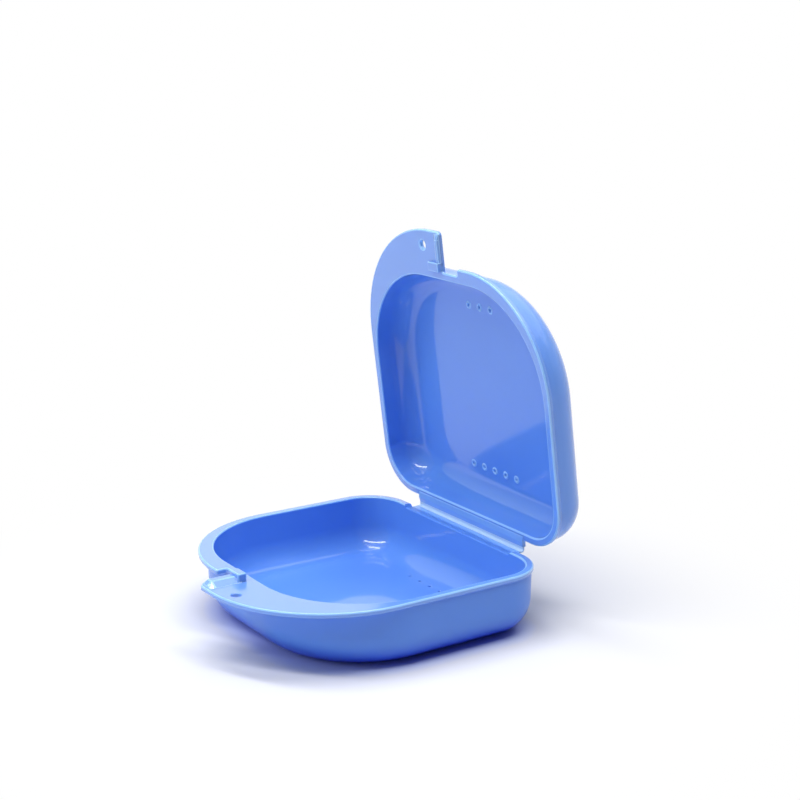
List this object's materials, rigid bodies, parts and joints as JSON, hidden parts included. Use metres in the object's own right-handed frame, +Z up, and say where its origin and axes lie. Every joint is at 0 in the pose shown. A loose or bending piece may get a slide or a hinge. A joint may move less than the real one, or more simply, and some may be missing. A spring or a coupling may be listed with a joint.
{
  "type": "retainer case",
  "caption": "Pocket-size orthodontic retainer case: a D-shaped plastic tray and lid joined by a film hinge, with vents, cord holes and a thumb-tab latch.",
  "frame": {"origin": "centre of the tray's resting face, below the middle of the cavity", "axes": "+Z up out of the tray, -Y to the front with the thumb tabs, +Y to the hinge, +X along the hinge on the side of the tray's own tab"},
  "size_m": [0.0762, 0.0886, 0.094],
  "materials": {
    "shell": "smooth, slightly translucent moulded polypropylene"
  },
  "bodies": {
    "tray": {"base_tray": "shell", "hinge_film": "shell"},
    "lid": {"lid_cover": "shell"}
  },
  "joints": [
    {"name": "lid_hinge", "type": "hinge", "parent": "tray", "child": "lid", "pos_m": [0, 0.03495, 0.01645], "axis": [-1, 0, 0], "range_deg": [-82.5, 97.5], "deforming": ["hinge_film"]}
  ]
}
